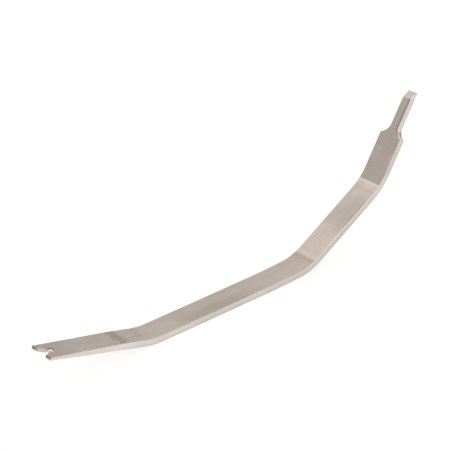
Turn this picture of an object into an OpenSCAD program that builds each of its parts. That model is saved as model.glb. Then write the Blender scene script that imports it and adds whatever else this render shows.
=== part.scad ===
// Forked release bar: one flat steel bar, bent three times on its wide face, with a notched fork
// ground thin at one end and a narrow chisel tip at the other.
// The origin lies on the underside, in the middle of the flat middle run. X runs along that run
// towards the chisel tip, Y runs across the bar, and both ends bend up from it.

/* [Bar] */
// Width of the flat bar
bar_w = 12.7; // [10:0.1:20]
// Thickness of the flat bar
bar_t = 3.2; // [2.4:0.1:5]
// Radius rounded onto the bar's long edges
edge_r = 0.4; // [0.2:0.05:0.8]
// Bevel that breaks the edges of the fork's tips
edge_break = 0.25; // [0.1:0.05:0.3]

/* [Straight runs] */
// From the first bend to the fork's tips
fork_run = 51.3; // [46:0.1:90]
// Between the first bend and the sweep into the second, the run that the bar rests on
middle_run = 59.3; // [50:0.1:90]
// Between the second and the third bend
upper_run = 38.4; // [20:0.1:60]
// From the third bend to the shoulders
head_run = 17.8; // [8:0.1:30]
// From the shoulders to the chisel tip
neck_run = 22.5; // [14:0.1:36]

/* [Bends] */
// Angle of the first bend, which lifts the fork, in degrees
fork_angle = 15.2; // [5:0.1:30]
// Radius of the first bend on its inner face
fork_bend_r = 37; // [5:0.5:60]
// Angle of the long shallow sweep that leads into the second bend, in degrees
sweep_angle = 3.4; // [1:0.1:6]
// Radius of the sweep on its inner face
sweep_r = 360; // [100:5:600]
// Angle of the second bend, in degrees
middle_angle = 27.1; // [10:0.1:40]
// Radius of the second bend on its inner face
middle_bend_r = 25; // [5:0.5:60]
// Angle of the third bend, in degrees
head_angle = 27.3; // [10:0.1:40]
// Radius of the third bend on its inner face
head_bend_r = 25; // [5:0.5:60]

/* [Fork] */
// Thickness left at the fork's tips
fork_tip_t = 1.4; // [1:0.1:2]
// Length of the taper ground on the inner face
taper_len = 40.7; // [20:0.1:45]
// Length of the shorter relief ground on the outer face
relief_len = 20; // [8:0.1:40]
// Depth of that relief at the fork's tips
relief_depth = 0.4; // [0.1:0.05:0.8]
// Angle between the two walls of the notch, in degrees
notch_angle = 68; // [50:1:84]
// Depth at which the walls of the notch would meet
notch_depth = 5.4; // [3:0.1:6]
// Radius of the round hole at the root of the notch
root_r = 1.5; // [1:0.1:2.2]
// How far the hole's centre lies beyond the meeting point of the walls
root_back = 0; // [0:0.1:1.5]
// Radius of the outer corners of the tines
tine_r = 1.2; // [0.4:0.1:1.8]

/* [Neck and chisel] */
// Width of the neck
neck_w = 4.7; // [3:0.1:7]
// Radius of the hollow corners between the shoulders and the neck
shoulder_r = 5.5; // [3:0.1:8]
// Length of the bevel ground on the inner face
bevel_len = 3.8; // [2:0.1:8]
// Thickness left at the chisel tip
chisel_t = 1.05; // [0.5:0.05:2]

/* [Hidden] */
$fn = 72;
// Flats that round one corner of the section, and one hollow between shoulder and neck
corner_steps = 4;
hollow_steps = 10;
// Largest angle that one flat of a bend turns, and the fewest flats in a bend
step_angle = 2;
fewest_steps = 3;
// Largest share of the thickness that the rounding of one long edge takes, where the bar is thin
edge_share = 0.45;
// How far a cutter reaches past what it cuts
over = 2;
// Length over which a square shoulder drops, and the gap under which two stations are one
ledge = 0.02;
same_place = 0.005;

// The chain from the fork's tips to the chisel tip, along the inner face: length of each straight
// run, then the angle and the inner radius of the bend that ends it. The last run has no bend.
legs = [
    [fork_run, fork_angle, fork_bend_r],
    [middle_run, sweep_angle, sweep_r],
    [0, middle_angle, middle_bend_r],
    [upper_run, head_angle, head_bend_r],
    [head_run + neck_run, 0, 0],
];
last_leg = len(legs) - 1;
function arc(leg) = leg[1] * PI / 180 * leg[2];
function leg_start(i) = i == 0 ? 0 : leg_start(i - 1) + legs[i - 1][0] + arc(legs[i - 1]);

// Place [x, z, heading] at a distance s along a leg that starts at the place given, and at s along
// the whole chain
function in_leg(s, leg, x, z, heading) =
    s <= leg[0] || leg[1] == 0
        ? [x + s * cos(heading), z + s * sin(heading), heading]
        : let (
            turn = (s - leg[0]) / arc(leg) * leg[1],
            centre_x = x + leg[0] * cos(heading) - leg[2] * sin(heading),
            centre_z = z + leg[0] * sin(heading) + leg[2] * cos(heading)
        )
        [
            centre_x + leg[2] * sin(heading + turn),
            centre_z - leg[2] * cos(heading + turn),
            heading + turn,
        ];
function in_chain(s, i = 0, x = 0, z = 0, heading = -fork_angle) =
    let (leg = legs[i], length = leg[0] + arc(leg))
    i == last_leg || s <= length
        ? in_leg(s, leg, x, z, heading)
        : let (next = in_leg(length, leg, x, z, heading))
            in_chain(s - length, i + 1, next[0], next[1], next[2]);

// Measures along the chain, from the fork's tips, and where each hollow between shoulder and neck
// starts on its circle
shoulder_s = leg_start(last_leg) + head_run;
tip_s = shoulder_s + neck_run;
hollow_y = neck_w / 2 + shoulder_r;
hollow_from = hollow_y > bar_w / 2 ? asin((hollow_y - bar_w / 2) / shoulder_r) : 0;
hollow_s = shoulder_s + shoulder_r * cos(hollow_from);

// Height of the two faces and half the width along the chain, as points joined by straight lines
taper_fall = bar_t - relief_depth - fork_tip_t;
inner_face = [
    [0, -taper_fall - edge_break],
    [edge_break, -taper_fall],
    [taper_len, 0],
    [tip_s - bevel_len, 0],
    [tip_s, chisel_t - bar_t],
];
outer_face = [
    [0, relief_depth + edge_break - bar_t],
    [edge_break, relief_depth - bar_t],
    [relief_len, -bar_t],
    [tip_s, -bar_t],
];
half_width = [
    [0, bar_w / 2],
    [shoulder_s - ledge, bar_w / 2],
    for (i = [0 : hollow_steps])
        let (a = hollow_from + (90 - hollow_from) * i / hollow_steps)
            [hollow_s - shoulder_r * cos(a), hollow_y - shoulder_r * sin(a)],
    [tip_s, neck_w / 2],
];

// Every station where the section changes or the bar turns, in order
function bend_stations(i) =
    let (
        start = leg_start(i) + legs[i][0],
        steps = max(fewest_steps, ceil(legs[i][1] / step_angle))
    )
        [for (k = [0 : steps]) start + arc(legs[i]) * k / steps];
function sorted(v) =
    len(v) < 2
        ? v
        : let (pivot = v[floor(len(v) / 2)])
            concat(
                sorted([for (a = v) if (a < pivot - same_place) a]),
                [pivot],
                sorted([for (a = v) if (a > pivot + same_place) a])
            );
stations = sorted([
    for (table = [inner_face, outer_face, half_width], point = table) point[0],
    for (i = [0 : last_leg - 1]) each bend_stations(i),
]);

// Section at a station, turned anticlockwise about the bar, with the long edges rounded
function section(s) =
    let (
        half = lookup(s, half_width),
        top = lookup(s, inner_face),
        under = lookup(s, outer_face),
        r = min(edge_r, (top - under) * edge_share)
    )
    [
        for (corner = [0 : 3], step = [0 : corner_steps])
            let (
                angle = 90 * (corner + step / corner_steps),
                side = corner == 0 || corner == 3 ? 1 : -1,
                level = corner < 2 ? top - r : under + r
            )
                [side * (half - r) + r * cos(angle), level + r * sin(angle)],
    ];
function placed(s) =
    let (p = in_chain(s))
        [for (q = section(s)) [p[0] - q[1] * sin(p[2]), q[0], p[1] + q[1] * cos(p[2])]];

// The bar before the fork is notched, drawn through all its stations
module blank() {
    ring = 4 * (corner_steps + 1);
    last = len(stations) - 1;
    polyhedron(
        points = [for (s = stations) each placed(s)],
        faces = concat(
            [[for (i = [0 : ring - 1]) i]],
            [
                for (k = [0 : last - 1], i = [0 : ring - 1])
                    let (j = (i + 1) % ring)
                        [k * ring + j, k * ring + i, (k + 1) * ring + i, (k + 1) * ring + j],
            ],
            [[for (i = [ring - 1 : -1 : 0]) last * ring + i]]
        )
    );
}

// V notch with a round root, cut in from the fork's tips along +X
module notch() {
    mouth = (notch_depth + over) * tan(notch_angle / 2);
    linear_extrude(bar_t + 2 * over) {
        polygon([[notch_depth, 0], [-over, mouth], [-over, -mouth]]);
        translate([notch_depth + root_back, 0]) circle(root_r);
    }
}

// What the rounding of a tine's outer corner takes away
module tine_corner() {
    translate([tine_r, bar_w / 2 - tine_r]) linear_extrude(bar_t + 2 * over)
        difference() {
            translate([-tine_r - over, 0]) square(tine_r + over);
            circle(tine_r);
        }
}

// The whole bar: the blank less the notch and the tines' corners, set down on its middle run
module bar() {
    rest = in_chain(leg_start(1) + middle_run / 2);
    color([0.66, 0.59, 0.54]) translate([-rest[0], 0, bar_t - rest[1]]) difference() {
        blank();
        rotate([0, fork_angle, 0]) translate([0, 0, -bar_t - over]) {
            notch();
            for (side = [0, 1]) mirror([0, side, 0]) tine_corner();
        }
    }
}

bar();
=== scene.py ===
import math

import bpy
from mathutils import Matrix, Vector


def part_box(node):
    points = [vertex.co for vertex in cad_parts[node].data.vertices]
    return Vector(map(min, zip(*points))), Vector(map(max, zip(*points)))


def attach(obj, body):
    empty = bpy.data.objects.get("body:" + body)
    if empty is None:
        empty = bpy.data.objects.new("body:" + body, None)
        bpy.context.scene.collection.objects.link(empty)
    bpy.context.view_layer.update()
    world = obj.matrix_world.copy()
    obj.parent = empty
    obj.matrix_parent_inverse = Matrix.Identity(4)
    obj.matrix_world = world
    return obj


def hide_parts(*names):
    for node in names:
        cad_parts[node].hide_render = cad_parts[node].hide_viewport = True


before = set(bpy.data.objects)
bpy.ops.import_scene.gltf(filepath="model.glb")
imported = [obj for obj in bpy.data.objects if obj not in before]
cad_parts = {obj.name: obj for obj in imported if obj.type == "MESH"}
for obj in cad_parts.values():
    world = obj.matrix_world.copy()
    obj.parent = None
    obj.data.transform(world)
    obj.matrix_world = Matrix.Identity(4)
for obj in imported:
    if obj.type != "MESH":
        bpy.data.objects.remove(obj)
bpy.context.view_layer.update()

MM = 0.001

# The bar's sizes in millimetres. The width comes from the frame; the rest are the source's own values.
low_corner, high_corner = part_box("bar")
BAR_W = (high_corner.y - low_corner.y) / MM
BAR_T = 3.2
HEAD_RUN, NECK_RUN = 17.8, 22.5
LEGS = [  # straight run, then the angle in degrees and the inner radius of the bend that ends it
    (51.3, 15.2, 37),
    (59.3, 3.4, 360),
    (0, 27.1, 25),
    (38.4, 27.3, 25),
    (HEAD_RUN + NECK_RUN, 0, 0),
]
FORK_TIP_T, TAPER_LEN = 1.4, 40.7
RELIEF_LEN, RELIEF_DEPTH = 20, 0.4
NOTCH_HALF_ANGLE, NOTCH_DEPTH = math.radians(34), 5.4
ROOT_R = 1.5
NECK_W, SHOULDER_R = 4.7, 5.5
BEVEL_LEN, CHISEL_T = 3.8, 1.05
# The skin's own: half the length of the hollow curve in which the ground taper runs out, and how far
# the fork's ends lie inside the source's
RUN_OUT = 3.0
FORK_END = 0.03


def arc(leg):
    return math.radians(leg[1]) * leg[2]


def leg_starts():
    starts = [0.0]
    for leg in LEGS[:-1]:
        starts.append(starts[-1] + leg[0] + arc(leg))
    return starts


# Lengths along the bar's inner face from the fork's tips, and distances from the bar's middle
STARTS = leg_starts()
SHOULDER_S = STARTS[-1] + HEAD_RUN
TIP_S = SHOULDER_S + NECK_RUN
BEVEL_S = TIP_S - BEVEL_LEN
HALF_W, HALF_NECK = BAR_W / 2, NECK_W / 2
HOLLOW_Y = HALF_NECK + SHOULDER_R
HOLLOW_FROM = math.asin((HOLLOW_Y - HALF_W) / SHOULDER_R)
HOLLOW_S = SHOULDER_S + SHOULDER_R * math.cos(HOLLOW_FROM)

# Radii of the skin's edges
LONG_EDGE = 0.4
FAR_EDGE, FAR_EDGE_SPAN = 0.25, (108, 152)  # the far edge is crisper on this stretch
NECK_EDGE = 0.12  # round the neck and the far hollow
BEVEL_EDGE = 0.42  # near edge beside the chisel's bevel
CHISEL_EDGE = 0.08
FORK_EDGE, THROAT_EDGE, ROOT_EDGE = 0.2, 0.12, 0.3
EDGE_GROWTH, GROWTH_S = 0.05, 1.0  # what the fork's side edges gain on each millimetre, and from where
TINE_END_EDGE, TINE_END_LEN, TINE_END_FADE = 0.42, 1.1, 0.4  # heavier lip at the tines' ends
HOLLOW_LIP = 1.4  # length of the near hollow's rounder lip, from the shoulder
RADIUS_BLENDS = 3  # how often each radius is averaged with its two neighbours

# Where those edges lie
CHISEL_MARGIN = 0.2  # the chisel's end edge keeps this far from its corners
FAR_HEAD_S = SHOULDER_S - 0.5  # the far side is crisp from here to the tip
NOTCH_S, SIDE_MARGIN = 8.0, 0.01  # the notch lies before this length, and this far inside the sides
THROAT_S, THROAT_Y = 3.0, 1.6  # the throat lies beyond this length, and this near to the middle
HOLE_MARGIN = 0.1  # a point this near to the root hole's circle lies on it
ROOT_EDGE_S = NOTCH_DEPTH - 0.8
# Beyond this length and this far across the bar, the root hole's upper lip is darkened with painted shade
ROOT_SHADE_S, ROOT_SHADE_Y = NOTCH_DEPTH - 0.3, -0.2

# How much painted shade darkens the fork's ground walls, from 0 to 1, at their upper (1) and their lower
# (-1) edge
NOTCH_WALL_SHADE = {1: 0.45, -1: 0.25}
END_WALL_SHADE = {1: 0.6, -1: 0.4}
WALL_MARGIN = 0.4  # the notch's walls stop this far from the sides
# The dark spot on the chisel's near corner, its length along the bar and its width across the neck
TIP_SPOT = {1: 0.9, -1: 0.1}
TIP_SPOT_LEN, TIP_SPOT_W = 1.0, 0.3

# How far from each corner of the outline its rounding starts
CORNER_REACH = {"throat": 0.3, "mouth": 0.35, "tine": 1.15, "shoulder": 0.5, "neck": 0.0, "tip": 0.15}

# Points of the outline and rings of the skin
CORNER_STEPS, HOLE_STEPS, HOLLOW_STEPS, RUN_OUT_STEPS = 8, 26, 24, 4
FEWEST_BEND_STEPS = 4  # a bend has one step for each degree, and at least this many
LONGEST_STEP, WALL_STEP, CHISEL_STEP = 3.0, 0.25, 0.3
SAME_PLACE = 0.02  # stations nearer than this are one
CREASE = 0.06  # how far the stations beside a sharp crease lie from it
SHOULDER_GAP, HOLLOW_GAP = 1.0, 0.3  # no stations this near before the shoulder and after the hollow
FORK_POINTS = (0.5, 1.0, 1.5, 2.2, 3.0, 4.0, 5.0, 6.0, 7.5, 10.0)  # lengths from the fork's tips
CHISEL_POINTS = (3.2, 2.6, 2.0, 1.5, 1.1, 0.8, 0.5, 0.0)  # lengths back from the chisel's end
# One polygon fills a flat face from the fork's tips to the first point beyond here, and one the last
# stretch at the chisel's end
FORK_FACE_S, CHISEL_FACE_LEN = 7.3, 0.45
LEAST_COSINE = 0.5  # keeps the offset short at a sharp corner of the outline
EDGE_STEPS = 6
MID_STEP = EDGE_STEPS // 2
SUPPORT = 0.05  # width of the flat strip kept beside each rounded edge, so that flats shade flat


def in_chain(s):
    """Place x, z and heading in radians on the inner face at the length s from the fork's tips."""
    x = z = 0.0
    heading = -math.radians(LEGS[0][1])
    for run, angle, r in LEGS[:-1]:
        along = min(s, run)
        x += along * math.cos(heading)
        z += along * math.sin(heading)
        s -= along
        if s <= 0:
            return x, z, heading
        turn = min(s / r, math.radians(angle))
        x += r * (math.sin(heading + turn) - math.sin(heading))
        z -= r * (math.cos(heading + turn) - math.cos(heading))
        heading += turn
        s -= turn * r
    return x + s * math.cos(heading), z + s * math.sin(heading), heading


REST_X, REST_Z, _ = in_chain(STARTS[1] + LEGS[1][0] / 2)

TAPER_SLOPE = (BAR_T - RELIEF_DEPTH - FORK_TIP_T) / TAPER_LEN


def inner_face(s):
    """Height of the inner face, 0 where nothing is ground off it: the taper, its run-out, the bevel."""
    if s < TAPER_LEN - RUN_OUT:
        return -TAPER_SLOPE * (TAPER_LEN - s)
    if s < TAPER_LEN + RUN_OUT:
        return -TAPER_SLOPE * (TAPER_LEN + RUN_OUT - s) ** 2 / (4 * RUN_OUT)
    if s <= BEVEL_S:
        return 0.0
    return (CHISEL_T - BAR_T) * (s - BEVEL_S) / BEVEL_LEN


def outer_face(s):
    """Height of the outer face, with its relief, from the same 0."""
    return -BAR_T + RELIEF_DEPTH * max(0.0, 1 - s / RELIEF_LEN)


def stations():
    """Every length where the bar turns or its section changes, and points between them."""
    found = {RELIEF_LEN, BEVEL_S - CREASE, BEVEL_S, BEVEL_S + CREASE}
    found |= {TAPER_LEN + RUN_OUT * k / RUN_OUT_STEPS for k in range(-RUN_OUT_STEPS, RUN_OUT_STEPS + 1)}
    for start, leg in zip(STARTS, LEGS[:-1]):
        steps = max(FEWEST_BEND_STEPS, math.ceil(leg[1]))
        found |= {start + leg[0] + arc(leg) * k / steps for k in range(steps + 1)}
    ordered = sorted(found)
    full = [ordered[0]]
    for s in ordered[1:]:
        gap = s - full[-1]
        if gap < SAME_PLACE:
            continue
        pieces = math.ceil(gap / LONGEST_STEP)
        full += [full[-1] + gap * k / pieces for k in range(1, pieces + 1)]
    return full


def between(a, b, step):
    """Points from a to b, both included, at most a step apart."""
    n = math.ceil(math.dist(a, b) / step)
    return [(a[0] + (b[0] - a[0]) * k / n, a[1] + (b[1] - a[1]) * k / n) for k in range(n + 1)]


def half_outline():
    """Outline of the near half (y below 0) in the unrolled plane, from the notch's root round the tine
    and along the side to the middle of the chisel's end: strokes, each named after its last corner."""
    cos_w, sin_w = math.cos(NOTCH_HALF_ANGLE), math.sin(NOTCH_HALF_ANGLE)
    throat = (NOTCH_DEPTH - ROOT_R * cos_w, -ROOT_R * sin_w)
    mouth = (FORK_END, -(NOTCH_DEPTH - FORK_END) * sin_w / cos_w)
    hole_turn, hollow_turn = math.pi - NOTCH_HALF_ANGLE, math.pi / 2 - HOLLOW_FROM
    hole_angles = [hole_turn * k / HOLE_STEPS for k in range(HOLE_STEPS + 1)]
    hollow_angles = [HOLLOW_FROM + hollow_turn * k / HOLLOW_STEPS for k in range(HOLLOW_STEPS + 1)]
    found = stations()
    before_shoulder = [s for s in found if s < SHOULDER_S - SHOULDER_GAP]
    after_hollow = [s for s in found if s > HOLLOW_S + HOLLOW_GAP]
    side = [FORK_END, *FORK_POINTS, *before_shoulder, SHOULDER_S]
    neck = [HOLLOW_S, *after_hollow, *(TIP_S - back for back in CHISEL_POINTS)]
    return [
        ("throat", [(NOTCH_DEPTH + ROOT_R * math.cos(a), -ROOT_R * math.sin(a)) for a in hole_angles]),
        ("mouth", between(throat, mouth, WALL_STEP)),
        ("tine", between(mouth, (FORK_END, -HALF_W), WALL_STEP)),
        ("shoulder", [(s, -HALF_W) for s in side]),
        (
            "neck",
            [
                (HOLLOW_S - SHOULDER_R * math.cos(a), -HOLLOW_Y + SHOULDER_R * math.sin(a))
                for a in hollow_angles
            ],
        ),
        ("tip", [(s, -HALF_NECK) for s in neck]),
        ("end", between((TIP_S, -HALF_NECK), (TIP_S, 0.0), CHISEL_STEP)),
    ]


def trimmed(points, reach):
    """The stroke without its first reach, from the point where it was cut."""
    points = list(points)
    while len(points) > 2 and math.dist(points[0], points[1]) <= reach:
        reach -= math.dist(points[0], points[1])
        points.pop(0)
    t = reach / math.dist(points[0], points[1])
    points[0] = tuple(a + (b - a) * t for a, b in zip(points[0], points[1]))
    return points


def rounding(a, peak, b):
    """Points between a and b on the parabola that touches the lines from both to the peak."""
    return [
        tuple((1 - t) ** 2 * a[i] + 2 * t * (1 - t) * peak[i] + t * t * b[i] for i in (0, 1))
        for t in (k / CORNER_STEPS for k in range(1, CORNER_STEPS))
    ]


def joined(strokes):
    """One line of points, with the corners between the strokes rounded."""
    line = list(strokes[0][1])
    for (corner, _), (_, following) in zip(strokes, strokes[1:]):
        reach = CORNER_REACH[corner]
        if reach == 0:
            line += following[1:]
            continue
        line = trimmed(line[::-1], reach)[::-1]
        rest = trimmed(following, reach)
        line += rounding(line[-1], following[0], rest[0]) + rest
    return line


def on_hole(s, y):
    return math.dist((s, y), (NOTCH_DEPTH, 0)) < ROOT_R + HOLE_MARGIN


def on_far_head(s, y):
    return y > 0 and s > FAR_HEAD_S


def edge_radius(s, y):
    """Radius on the edges at a point of the outline. The first place named here that holds it counts."""
    if s > TIP_S - CHISEL_MARGIN and abs(y) < HALF_NECK - CHISEL_MARGIN:
        return CHISEL_EDGE
    if s > BEVEL_S and y < 0:
        return BEVEL_EDGE
    if s > SHOULDER_S + HOLLOW_LIP or on_far_head(s, y):
        return NECK_EDGE
    if y > 0 and FAR_EDGE_SPAN[0] < s < FAR_EDGE_SPAN[1]:
        return FAR_EDGE
    if s > ROOT_EDGE_S and on_hole(s, y):
        return ROOT_EDGE
    if s < TINE_END_LEN:
        return TINE_END_EDGE + (FORK_EDGE - TINE_END_EDGE) * s / TINE_END_LEN
    if s < NOTCH_S and abs(y) < HALF_W - SIDE_MARGIN:
        return THROAT_EDGE if s > THROAT_S and abs(y) < THROAT_Y else FORK_EDGE
    return min(LONG_EDGE, FORK_EDGE + EDGE_GROWTH * max(0.0, s - GROWTH_S))


def lip_tone(s, y):
    """How dark the upper lip is: darker at the tines' ends, and painted shade on the root hole's far side.
    """
    if on_hole(s, y) and s > ROOT_SHADE_S and y > ROOT_SHADE_Y:
        return 1.0
    return max(0.0, min(1.0, (TINE_END_LEN - s) / TINE_END_FADE))


def wall_shade(s, y, face):
    """How much painted shade darkens a wall of the fork: most at the tines' ends, less in the notch, not
    at all elsewhere.
    """
    if s < TINE_END_LEN:
        return END_WALL_SHADE[face]
    in_notch = s < NOTCH_DEPTH and abs(y) < HALF_W - WALL_MARGIN
    return NOTCH_WALL_SHADE[face] if in_notch else 0.0


def outward(line):
    """Outward direction at each point of the closed line, longer at corners, so that offsets stay
    parallel."""
    normals = []
    for k, p in enumerate(line):
        q, n = line[k - 1], line[(k + 1) % len(line)]
        a = Vector((p[0] - q[0], p[1] - q[1])).normalized()
        b = Vector((n[0] - p[0], n[1] - p[1])).normalized()
        mid = (a + b).normalized()
        normals.append(Vector((mid.y, -mid.x)) / max(LEAST_COSINE, mid.dot(a)))
    return normals


def rings():
    """The skin's rings from the upper face round the edge to the lower one: the face (1 or -1), the
    part of the section, and the step on a rounded edge, which counts from the side."""
    upper = [(1, "flat", 0)]
    upper += [(1, "round", step) for step in range(EDGE_STEPS, -1, -1)]
    upper += [(1, "side", 0)]
    return upper + [(-1, part, step) for _, part, step in reversed(upper)]


def ring_offset(part, step, radius):
    """How far a ring lies inside the outline, and how far from its face."""
    if part == "flat":
        return radius + SUPPORT, 0.0
    if part == "side":
        return 0.0, radius + SUPPORT
    turn = math.pi / 2 * step / EDGE_STEPS
    return radius * (1 - math.cos(turn)), radius * (1 - math.sin(turn))


def edge_mark(s, y, part, step):
    """1 inside a rounded edge that wear and painted highlights can brighten, 0 elsewhere."""
    inside = part == "round" and 0 < step < EDGE_STEPS
    return 1.0 if inside and not on_far_head(s, y) else 0.0


def dark_and_shade_mark(s, y, face, part, step):
    """How dark a point of the skin is made, from 0 to 1: a dark spot at the chisel's near corner, a darker
    upper lip at the tines' ends, and painted shade on the root hole's far lip and the fork's walls.
    """
    lip = face > 0 and part == "round" and step < EDGE_STEPS
    low = part == "side" or (lip and step < MID_STEP)
    if low and s > TIP_S - TIP_SPOT_LEN and y < TIP_SPOT_W - HALF_NECK:
        return TIP_SPOT[face]
    if lip:
        return lip_tone(s, y)
    return wall_shade(s, y, face) if part == "side" else 0.0


def skin_points(closed, radii):
    """Points of all the rings, and what the material reads at each of them."""
    normals = outward(closed)
    points = []
    marks = {"unrolled": [], "edge": [], "dark_and_shade": [], "upper": []}
    for face, part, step in rings():
        on_top = face > 0 and (part == "flat" or (part == "round" and step >= MID_STEP))
        for (s, y), normal, radius in zip(closed, normals, radii):
            inset, drop = ring_offset(part, step, radius)
            along, across = s - normal.x * inset, y - normal.y * inset
            level = inner_face(along) - drop if face > 0 else outer_face(along) + drop
            x, z, heading = in_chain(along)
            x -= level * math.sin(heading)
            z += level * math.cos(heading)
            points.append(((x - REST_X) * MM, across * MM, (z - REST_Z + BAR_T) * MM))
            marks["unrolled"] += (along, across, level)
            marks["edge"].append(edge_mark(s, y, part, step))
            marks["dark_and_shade"].append(dark_and_shade_mark(s, y, face, part, step))
            marks["upper"].append(1.0 if on_top else 0.0)
    return points, marks


def skin_faces(half, count):
    """Quads between the rings, then the two flat faces: one polygon on the fork, quads across the bar
    and one polygon at the chisel's end."""
    faces = []
    last_ring = len(rings()) - 1
    for ring in range(last_ring):
        here, below = ring * count, (ring + 1) * count
        for k in range(count):
            j = (k + 1) % count
            faces.append((here + k, below + k, below + j, here + j))

    first = next(k for k, (s, y) in enumerate(half) if s > FORK_FACE_S and y < SIDE_MARGIN - HALF_W)
    last = max(k for k, (s, _) in enumerate(half) if s < TIP_S - CHISEL_FACE_LEN)
    opposite = [(count - k) % count for k in range(len(half))]
    flat = [opposite[first:0:-1] + list(range(first + 1))]
    flat += [[k, k + 1, opposite[k + 1], opposite[k]] for k in range(first, last)]
    flat += [list(range(last, opposite[last] + 1))]
    faces += [tuple(polygon) for polygon in flat]
    faces += [tuple(last_ring * count + k for k in reversed(polygon)) for polygon in flat]
    return faces


def build_bar():
    half = joined(half_outline())
    closed = half + [(s, -y) for s, y in reversed(half[1:-1])]
    count = len(closed)
    radii = [edge_radius(s, y) for s, y in closed]
    for _ in range(RADIUS_BLENDS):
        radii = [(radii[k - 1] + radii[k] + radii[(k + 1) % count]) / 3 for k in range(count)]
    points, marks = skin_points(closed, radii)

    mesh = bpy.data.meshes.new("bar_skin")
    mesh.from_pydata(points, [], skin_faces(half, count))
    unrolled = mesh.attributes.new("unrolled", "FLOAT_VECTOR", "POINT")
    unrolled.data.foreach_set("vector", marks.pop("unrolled"))
    for name, values in marks.items():
        mesh.attributes.new(name, "FLOAT", "POINT").data.foreach_set("value", values)
    mesh.polygons.foreach_set("use_smooth", [True] * len(mesh.polygons))
    mesh.validate()
    mesh.update()
    skin = bpy.data.objects.new("bar_skin", mesh)
    bpy.context.scene.collection.objects.link(skin)
    return skin


class Nodes:
    """Short calls for building one node tree. What they take is an output of a node or a plain value."""

    def __init__(self, owner):
        owner.use_nodes = True
        self.tree = owner.node_tree
        self.tree.nodes.clear()

    def add(self, kind, inputs=None, **settings):
        made = self.tree.nodes.new("ShaderNode" + kind)
        for key, value in settings.items():
            setattr(made, key, value)
        for key, value in (inputs or {}).items():
            if isinstance(value, bpy.types.NodeSocket):
                self.tree.links.new(value, made.inputs[key])
            else:
                made.inputs[key].default_value = value
        return made

    def attribute(self, name, output="Fac"):
        return self.add("Attribute", attribute_name=name).outputs[output]

    def maths(self, operation, a, b=0.0, clamp=False):
        return self.add("Math", {0: a, 1: b}, operation=operation, use_clamp=clamp).outputs[0]

    def plus(self, a, b, clamp=False):
        return self.maths("ADD", a, b, clamp)

    def minus(self, a, b):
        return self.maths("SUBTRACT", a, b)

    def times(self, a, b):
        return self.maths("MULTIPLY", a, b)

    def smooth(self, value, low, high, out_low=0.0, out_high=1.0):
        """Soft step from one value to the other while the value given rises from low to high."""
        made = self.add(
            "MapRange",
            {"Value": value, "From Min": low, "From Max": high, "To Min": out_low, "To Max": out_high},
            interpolation_type="SMOOTHSTEP",
        )
        return made.outputs["Result"]

    def band(self, value, rise_from, rise_to, fall_from, fall_to):
        """1 where the value lies between two soft edges, 0 elsewhere."""
        up = self.smooth(value, rise_from, rise_to)
        down = self.smooth(value, fall_from, fall_to)
        return self.times(up, self.minus(1.0, down))

    def with_stretches(self, base, place, stretches):
        """The base, with the change of each stretch added where the place lies on it."""
        for stretch, change in stretches:
            base = self.plus(base, self.times(self.band(place, *stretch), change))
        return base

    def noise(self, place, stretch, detail, roughness, offset):
        mapped = self.add("Mapping", {"Vector": place, "Scale": stretch, "Location": offset})
        made = self.add(
            "TexNoise",
            {"Vector": mapped.outputs[0], "Scale": 1.0, "Detail": detail, "Roughness": roughness},
        )
        return made.outputs["Fac"]

    def blend(self, factor, a, b):
        return self.add("Mix", {0: factor, 2: a, 3: b}, data_type="FLOAT").outputs[0]

    def mixed(self, factor, a, b, blend="MIX"):
        return self.add("Mix", {0: factor, 6: a, 7: b}, data_type="RGBA", blend_type=blend).outputs[2]

    def toned(self, tone, share):
        """The tone times a share that is alike for its three colours."""
        grey = self.add("CombineColor", {0: share, 1: share, 2: share}).outputs[0]
        return self.mixed(1.0, tone, grey, "MULTIPLY")


# Colours of the metal, linear. The fourth brightens worn edges and paints highlights on them. The last two
# multiply the colour under them: the first paints shade, the second paints shade and the dark marks.
PLATE_WARM = (0.667, 0.592, 0.537, 1)
PLATE_COOL = (0.648, 0.592, 0.543, 1)
GROUND_STEEL = (0.80, 0.75, 0.71, 1)
WORN_EDGE_AND_HIGHLIGHT = (0.95, 0.91, 0.88, 1)
SHADE = (0.72, 0.69, 0.66, 1)
DARK_AND_SHADE_TINT = (0.22, 0.20, 0.19, 1)

# Noises over the unrolled bar: cycles on each millimetre along, across and through it, then detail,
# roughness and offset
GRAIN = (0.05, 5.0, 5.0), 4.0, 0.6, (0, 0, 0)
FINE_GRAIN = (0.5, 14.0, 14.0), 2.0, 0.5, (7, 3, 1)
MOTTLE = (0.14, 0.22, 0.22), 4.0, 0.62, (3, 9, 4)
PATCHY = (0.07, 0.16, 0.16), 3.0, 0.55, (6, 2, 7)
SPECKLE = (1.6, 1.9, 1.9), 2.0, 0.5, (1, 5, 8)
CROSS_GRAIN = (9.0, 0.25, 9.0), 3.0, 0.6, (2, 6, 5)

# What the noises do: from which value of the noise to which, and what stands at both
PLATE_MIX = 0.35, 0.65
GRAIN_TONE = 0.25, 0.75, 0.955, 1.03
SPECKLE_TONE = 0.3, 0.7, 0.985, 1.01
PATCHY_TONE = 0.3, 0.7, 0.95, 1.05
GRAIN_ROUGH = 0.25, 0.75, 0.08, 0.13
MOTTLE_ROUGH = 0.3, 0.7, -0.02, 0.03
WANDER = 9.0  # range in millimetres over which the mottling shifts the ends of the plate's stretches

BEVEL_FADE = BEVEL_S - 0.05, BEVEL_S + 0.1
BEVEL_ROUGH, WORN_ROUGH = 0.06, 0.14  # roughness added on the bevel and on the rounded edges
DARK_AND_SHADE_DEPTH = 0.85  # share of the darkness of the dark marks and painted shade at a full mark
GRAIN_SHARE, FINE_SHARE = 0.6, 0.4
BUMP_STRENGTH, BUMP_DISTANCE = 0.35, 0.01 * MM

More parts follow.
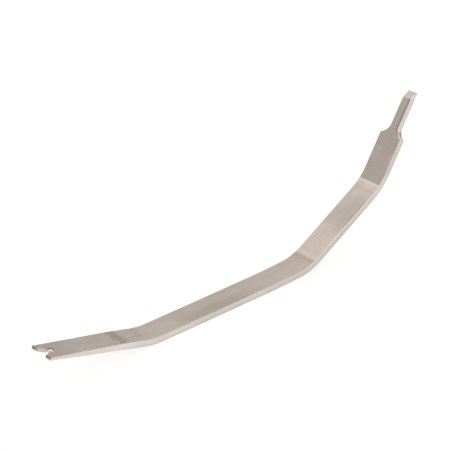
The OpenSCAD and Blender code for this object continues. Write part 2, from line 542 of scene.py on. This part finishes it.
# Stretches along the bar are four lengths in millimetres: where one starts, is full, starts to fall
# and ends. The second value is how much it adds, or how strong it is.
# Band of painted shade where the grinding of the fork runs out
RUN_OUT_SHADE = (TAPER_LEN - 4.5, TAPER_LEN - 1.5, TAPER_LEN - 0.5, TAPER_LEN + 3.5), 0.95
# Painted reflections: brighter and darker stretches of the plate's upper face
UPPER_REFLECTIONS = [
    ((-20, -10, 5, 18), -0.09),
    ((52, 57, 69, 78), 0.16),
    ((103, 124, 146, 152), 0.19),
    ((149, 156, 160, 180), 0.09),
    ((160, 176, 186, 194), -0.12),
    ((211, 217, 222, 227), -0.08),
]
# Painted reflection: a brighter stretch of the far half, and where across the bar that half begins
FAR_REFLECTION = (70, 82, 106, 118), 0.11
FAR_HALF = -2.0, 1.0
# Painted highlight: a light streak that slants across the first bend, and its slant
BEND_HIGHLIGHT = (52.9, 53.5, 54.0, 54.8), 0.10
BEND_HIGHLIGHT_SLANT = 0.4
# Painted highlight: a brighter strip beside the near edge, and how it fades with the distance from that
# edge
NEAR_HIGHLIGHT = (40, 48, 125, 140), 0.12
NEAR_HIGHLIGHT_FADE = 0.2, 0.9, 1.0, 0.0
# Painted reflections: brighter and darker stretches of the bar's two sides
SIDE_REFLECTIONS = [
    ((-20, -10, 26, 32), 0.03),
    ((-20, -10, 128, 140), 0.025),
    ((28, 34, 40, 50), 0.09),
    ((70, 85, 190, 196), -0.085),
    ((150, 157, 170, 190), -0.04),
    ((201, 206, 216, 222), -0.085),
    ((104, 108, 118, 122), 0.05),
]
# Painted shade: where the sides darken towards the floor, and between which levels
LOW_SIDE_SHADE = (36, 46, 146, 152), 0.15
LOW_SIDE_SHADE_LEVELS = -2.9, -1.6
# Painted shade and light on the wall of the hollows: where it runs, and by what it darkens at the lower
# level and brightens at the upper
HOLLOW_WALL = SHOULDER_S, SHOULDER_S + 0.4, SHOULDER_S + 2.5, SHOULDER_S + 4.5
HOLLOW_WALL_SHADING = -2.6, -1.0, -0.4, 0.3
# Painted shade: stretches where the near edge of the upper face is darker, and how that fades with the
# distance
NEAR_EDGE_SHADE = [
    ((82, 92, 104, 114), 0.20),
    ((168, 178, 186, 190), 0.25),
    ((SHOULDER_S + 1, SHOULDER_S + 2.5, BEVEL_S - 0.6, BEVEL_S - 0.2), 0.5),
]
NEAR_EDGE_SHADE_FADE = 0.3, 1.8, 1.0, 0.0
# Worn brightness and painted highlights on the long edges along the bar, on top of the least of it
LEAST_WORN_AND_HIGHLIGHT = 0.1
WORN_AND_HIGHLIGHT = [
    ((-20, -10, 195, 200), 0.25),
    ((156, 164, 190, 194), 0.25),
    ((207, 212, SHOULDER_S - 1, SHOULDER_S), 0.2),
    ((8, 14, 42, 48), 0.4),
    ((42, 48, 140, 150), 0.2),
    ((SHOULDER_S - 0.3, SHOULDER_S, SHOULDER_S + 0.8, SHOULDER_S + HOLLOW_LIP), 0.8),
    ((BEVEL_S - 0.4, BEVEL_S, TIP_S + 1, TIP_S + 2), 0.9),
]


def from_near_edge(n, along, across):
    """Distance across the bar from its near edge, which draws in at the hollow."""
    ahead = n.maths("MAXIMUM", n.minus(HOLLOW_S, along), 0.0)
    squared = n.minus(SHOULDER_R**2, n.times(ahead, ahead))
    scoop = n.maths("SQRT", n.maths("MAXIMUM", squared, 0.0))
    half_width = n.maths("MINIMUM", n.minus(HOLLOW_Y, scoop), HALF_W)
    return n.plus(across, half_width)


def upper_tone(n, along, wandering, across, from_edge, patchy):
    """Brightness of the upper face along the bar: a random patchy tone, with painted reflections in
    stretches and painted highlights across the first bend and beside the near edge.
    """
    tone = n.with_stretches(n.smooth(patchy, *PATCHY_TONE), wandering, UPPER_REFLECTIONS)
    tone = n.with_stretches(tone, n.minus(along, n.times(across, BEND_HIGHLIGHT_SLANT)), [BEND_HIGHLIGHT])
    far_reflection = n.times(n.smooth(across, *FAR_HALF), n.band(wandering, *FAR_REFLECTION[0]))
    tone = n.plus(tone, n.times(far_reflection, FAR_REFLECTION[1]))
    near_highlight = n.times(n.smooth(from_edge, *NEAR_HIGHLIGHT_FADE), n.band(along, *NEAR_HIGHLIGHT[0]))
    return n.plus(tone, n.times(near_highlight, NEAR_HIGHLIGHT[1]))


def side_tone(n, along, level):
    """Brightness of the two sides along the bar, all painted light and shade: reflections in stretches,
    shade towards the floor, and shade and light on the hollows' walls.
    """
    low = n.smooth(level, *LOW_SIDE_SHADE_LEVELS, -LOW_SIDE_SHADE[1], 0.0)
    tone = n.plus(n.times(low, n.band(along, *LOW_SIDE_SHADE[0])), 1.0)
    tone = n.with_stretches(tone, along, SIDE_REFLECTIONS)
    wall = n.smooth(level, *HOLLOW_WALL_SHADING)
    return n.plus(tone, n.times(wall, n.band(along, *HOLLOW_WALL)))


def steel():
    """Satin plate over ground steel: grain along the bar, soft mottling, a bevel ground across it, painted
    shade in a band where the grinding of the fork runs out, worn edges with painted highlights, painted
    reflections on the faces, and painted shade on the sides and the fork's walls."""
    material = bpy.data.materials.new("steel_satin")
    n = Nodes(material)
    place = n.attribute("unrolled", "Vector")
    along, across, level = n.add("SeparateXYZ", {0: place}).outputs
    edge = n.attribute("edge")
    dark_and_shade = n.attribute("dark_and_shade")
    on_top = n.attribute("upper")
    grain = n.noise(place, *GRAIN)
    fine = n.noise(place, *FINE_GRAIN)
    mottle = n.noise(place, *MOTTLE)
    patchy = n.noise(place, *PATCHY)
    speckle = n.noise(place, *SPECKLE)
    cross = n.noise(place, *CROSS_GRAIN)
    wandering = n.plus(along, n.times(n.minus(mottle, 0.5), WANDER))
    from_edge = from_near_edge(n, along, across)
    bevel = n.times(n.smooth(along, *BEVEL_FADE), on_top)

    tone = n.mixed(n.smooth(mottle, *PLATE_MIX), PLATE_WARM, PLATE_COOL)
    tone = n.mixed(bevel, tone, GROUND_STEEL)
    # painted shade in a band where the grinding of the fork runs out
    run_out_shade = n.times(n.band(wandering, *RUN_OUT_SHADE[0]), on_top)
    tone = n.mixed(n.times(run_out_shade, RUN_OUT_SHADE[1]), tone, SHADE, "MULTIPLY")
    tone = n.toned(tone, n.times(n.smooth(grain, *GRAIN_TONE), n.smooth(speckle, *SPECKLE_TONE)))
    # painted reflections, highlights and shade: on the upper face from upper_tone, on the sides from
    # side_tone
    upper = upper_tone(n, along, wandering, across, from_edge, patchy)
    tone = n.toned(tone, n.blend(on_top, side_tone(n, along, level), upper))
    # painted shade along the near edge of the upper face
    near_edge_shade = n.times(n.smooth(from_edge, *NEAR_EDGE_SHADE_FADE), on_top)
    for stretch, dark in NEAR_EDGE_SHADE:
        here = n.times(near_edge_shade, n.times(n.band(wandering, *stretch), dark))
        tone = n.mixed(here, tone, DARK_AND_SHADE_TINT, "MULTIPLY")
    # worn brightness and painted highlights on the rounded edges
    tone = n.mixed(n.times(edge, n.with_stretches(LEAST_WORN_AND_HIGHLIGHT, along, WORN_AND_HIGHLIGHT)), tone, WORN_EDGE_AND_HIGHLIGHT)
    # dark marks, and painted shade on the root hole's far lip and the fork's walls
    tone = n.mixed(n.times(dark_and_shade, DARK_AND_SHADE_DEPTH), tone, DARK_AND_SHADE_TINT, "MULTIPLY")

    rough = n.plus(n.smooth(grain, *GRAIN_ROUGH), n.smooth(mottle, *MOTTLE_ROUGH))
    rough = n.plus(rough, n.times(bevel, BEVEL_ROUGH))
    rough = n.plus(rough, n.times(edge, WORN_ROUGH), clamp=True)

    plain = n.plus(n.times(grain, GRAIN_SHARE), n.times(fine, FINE_SHARE))
    height = n.blend(bevel, plain, cross)
    bump = n.add("Bump", {"Strength": BUMP_STRENGTH, "Distance": BUMP_DISTANCE, "Height": height})
    surface = n.add(
        "BsdfPrincipled",
        {"Base Color": tone, "Roughness": rough, "Metallic": 1.0, "Normal": bump.outputs[0]},
    )
    n.add("OutputMaterial", {"Surface": surface.outputs[0]})
    return material


FLOOR_SIZE, FLOOR_DROP = 8.0, 0.1 * MM
FLOOR_WHITE, FLOOR_LIFT = 0.42, 0.74


def floor_material():
    """Matt white. What the lens and the metal see of it is lifted to white, and it keeps the shadow."""
    material = bpy.data.materials.new("floor_white")
    n = Nodes(material)
    path = n.add("LightPath")
    seen = n.plus(path.outputs["Is Camera Ray"], path.outputs["Is Transmission Ray"], clamp=True)
    seen = n.plus(seen, path.outputs["Is Glossy Ray"], clamp=True)
    matt = n.add("BsdfDiffuse", {"Color": (FLOOR_WHITE, FLOOR_WHITE, FLOOR_WHITE, 1)})
    lift = n.add("Emission", {"Color": (1, 1, 1, 1), "Strength": n.times(seen, FLOOR_LIFT)})
    both = n.add("AddShader", {0: matt.outputs[0], 1: lift.outputs[0]})
    n.add("OutputMaterial", {"Surface": both.outputs[0]})
    return material


def add_floor():
    half = FLOOR_SIZE / 2
    corners = [(-half, -half, 0), (half, -half, 0), (half, half, 0), (-half, half, 0)]
    mesh = bpy.data.meshes.new("floor")
    mesh.from_pydata(corners, [], [(0, 1, 2, 3)])
    floor = bpy.data.objects.new("floor", mesh)
    floor.location.z = -FLOOR_DROP
    floor.data.materials.append(floor_material())
    bpy.context.scene.collection.objects.link(floor)


def towards(azimuth, elevation):
    """Unit direction for an azimuth from +X towards +Y and an elevation, in degrees."""
    a, e = math.radians(azimuth), math.radians(elevation)
    return Vector((math.cos(a) * math.cos(e), math.sin(a) * math.cos(e), math.sin(e)))


# The room's colour, and the places that are brighter or darker than the rest of it: azimuth and
# elevation of the middle, inner and outer angle of the fading, and share of the room's brightness
ROOM_COLOUR = (0.632, 0.609, 0.586, 1)
ROOM_PLACES = [
    (232, 12, 8, 26, 1.45),
    (137, 8, 3, 12, 0.25),
]


def add_world():
    """A plain pale room."""
    world = bpy.data.worlds.new("room")
    n = Nodes(world)
    way = n.add("TexCoord").outputs["Generated"]
    strength = 1.0
    for azimuth, elevation, inner, outer, share in ROOM_PLACES:
        dot = n.add("VectorMath", {0: way, 1: towards(azimuth, elevation)}, operation="DOT_PRODUCT")
        cos_inner, cos_outer = math.cos(math.radians(inner)), math.cos(math.radians(outer))
        place = n.smooth(dot.outputs["Value"], cos_outer, cos_inner, 1.0, share)
        strength = n.times(strength, place)
    background = n.add("Background", {"Color": ROOM_COLOUR, "Strength": strength})
    n.add("OutputWorld", {"Surface": background.outputs[0]})
    bpy.context.scene.world = world


# The upper run and its two bends mirror the overhead lamps. Each has a name, where it starts and ends
# along X in shares of the lowest lamp's height, and its radiance. Along Y they all start and end alike.
CEILING = 1.4
LAMP_GAP = 0.02  # how far each lamp hangs above the one before
LAMPS_Y = 0.1, 1.25
OVERHEAD_LAMPS = [
    ("overhead", -0.57, 0.13, 0.21),
    ("overhead_left", -0.57, -0.25, 0.09),
    ("overhead_right", -0.05, 0.13, 0.09),
    ("overhead_line", -0.57, -0.52, 0.38),
]
# The key lamp makes the shadow
KEY_AZIMUTH, KEY_ELEVATION, KEY_DISTANCE = 266, 34, 2.2
KEY_SIZE, KEY_RADIANCE = (2.4, 1.7), 0.6


def add_softbox(name, at, aim, size, radiance):
    """A rectangular lamp at a place, turned to a point, with its surface at the given radiance."""
    light = bpy.data.lights.new(name, "AREA")
    light.shape = "RECTANGLE"
    light.size, light.size_y = size
    light.energy = radiance * math.pi * size[0] * size[1]
    lamp = bpy.data.objects.new(name, light)
    lamp.location = at
    lamp.rotation_euler = (Vector(aim) - Vector(at)).to_track_quat("-Z", "Y").to_euler()
    bpy.context.scene.collection.objects.link(lamp)


def add_lamps():
    low_y, high_y = LAMPS_Y
    for k, (name, low_x, high_x, radiance) in enumerate(OVERHEAD_LAMPS):
        centre = ((low_x + high_x) / 2 * CEILING, (low_y + high_y) / 2 * CEILING)
        size = ((high_x - low_x) * CEILING, (high_y - low_y) * CEILING)
        add_softbox(name, (*centre, CEILING + LAMP_GAP * k), (*centre, 0), size, radiance)
    key_at = towards(KEY_AZIMUTH, KEY_ELEVATION) * KEY_DISTANCE
    add_softbox("key", key_at, (0, 0, 0), KEY_SIZE, KEY_RADIANCE)


# The photograph's camera, found by fitting the bar's outline to the picture
CAMERA_AT = Vector((-421.286, -481.954, 379.679)) * MM
VIEW_AZIMUTH, VIEW_ELEVATION = 48.147, -27.759
FOCAL_PX, IMAGE_PX, SENSOR_MM = 1700, 450, 36
CLIP_START, CLIP_END = 0.01, 50


def add_camera():
    look = towards(VIEW_AZIMUTH, VIEW_ELEVATION)
    right = look.cross(Vector((0, 0, 1))).normalized()
    up = right.cross(look)
    data = bpy.data.cameras.new("camera")
    data.sensor_width = SENSOR_MM
    data.lens = FOCAL_PX * SENSOR_MM / IMAGE_PX
    data.clip_start, data.clip_end = CLIP_START, CLIP_END
    camera = bpy.data.objects.new("camera", data)
    turn = Matrix((right, up, -look)).transposed().to_4x4()
    camera.matrix_world = Matrix.Translation(CAMERA_AT) @ turn
    bpy.context.scene.collection.objects.link(camera)
    bpy.context.scene.camera = camera


skin = build_bar()
skin.data.materials.append(steel())
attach(skin, "root")
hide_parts("bar")

add_floor()
add_world()
add_lamps()
add_camera()
bpy.context.scene.view_settings.view_transform = "Standard"
